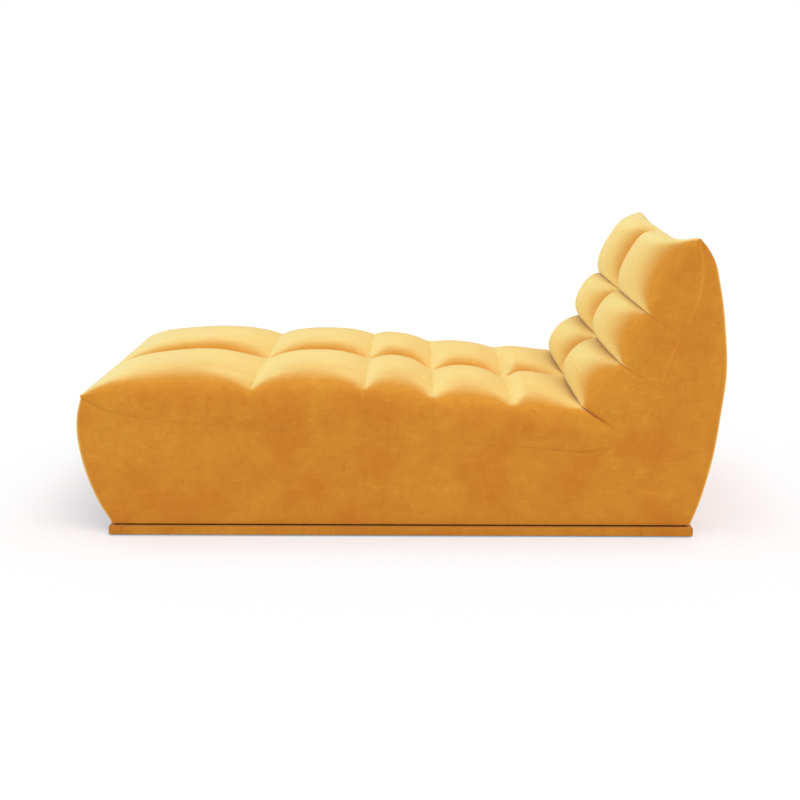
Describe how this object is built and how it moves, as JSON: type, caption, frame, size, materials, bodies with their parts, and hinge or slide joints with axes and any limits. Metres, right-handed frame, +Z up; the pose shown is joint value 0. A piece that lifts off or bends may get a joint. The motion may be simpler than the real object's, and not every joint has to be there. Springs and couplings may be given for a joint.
{
  "type": "upholstered meridienne",
  "caption": "Low upholstered meridienne: a long tufted velvet seat that runs up into a raised rolled back, on a plinth covered in the same velvet.",
  "frame": {"origin": "on the floor, below the centre of the overall length and width", "axes": "+X from the foot end to the back, +Y across to the right of a sitter who leans on the back, +Z up"},
  "size_m": [1.79, 0.95, 0.8221],
  "materials": {
    "velvet": "ochre yellow cotton velvet, paler where the pile faces the light",
    "foam": "upholstery foam wrapped in wadding",
    "plywood": "plain beech plywood",
    "spring_steel": "bright drawn steel",
    "clip_plastic": "matt black",
    "webbing": "woven elastic webbing",
    "dust_cloth": "black non-woven cloth",
    "felt": "dense dark felt"
  },
  "bodies": {
    "root": {"plinth_rail_left": "plywood", "plinth_rail_right": "plywood", "plinth_rail_foot": "plywood", "plinth_rail_head": "plywood", "plinth_cover_left": "velvet", "plinth_cover_right": "velvet", "plinth_cover_foot": "velvet", "plinth_cover_head": "velvet", "glide_1": "felt", "glide_2": "felt", "glide_3": "felt", "glide_4": "felt", "glide_5": "felt", "glide_6": "felt", "plinth_screw_1": "spring_steel", "plinth_screw_2": "spring_steel", "plinth_screw_3": "spring_steel", "plinth_screw_4": "spring_steel", "side_panel_left": "plywood", "side_panel_right": "plywood", "foot_rail": "plywood", "head_rail": "plywood", "seat_cross_rail": "plywood", "back_lumbar_rail": "plywood", "back_top_rail": "plywood", "corner_block_1": "plywood", "corner_block_2": "plywood", "corner_block_3": "plywood", "corner_block_4": "plywood", "spring_clip_strip_left": "clip_plastic", "spring_clip_strip_right": "clip_plastic", "seat_spring_1": "spring_steel", "seat_spring_2": "spring_steel", "seat_spring_3": "spring_steel", "seat_spring_4": "spring_steel", "seat_spring_5": "spring_steel", "back_web_1": "webbing", "back_web_2": "webbing", "seat_core": "foam", "back_core": "foam", "back_top_foam": "foam", "side_foam_seat_left": "foam", "side_foam_seat_right": "foam", "side_foam_back_left": "foam", "side_foam_back_right": "foam", "foot_foam": "foam", "rear_foam": "foam", "seat_roll_1": "velvet", "seat_roll_2": "velvet", "seat_roll_3": "velvet", "seat_roll_4": "velvet", "seat_roll_5": "velvet", "back_roll_1": "velvet", "back_roll_2": "velvet", "back_roll_3": "velvet", "side_cover_left": "velvet", "side_cover_right": "velvet", "foot_cover": "velvet", "rear_cover": "velvet", "dust_cover": "dust_cloth"}
  },
  "joints": []
}
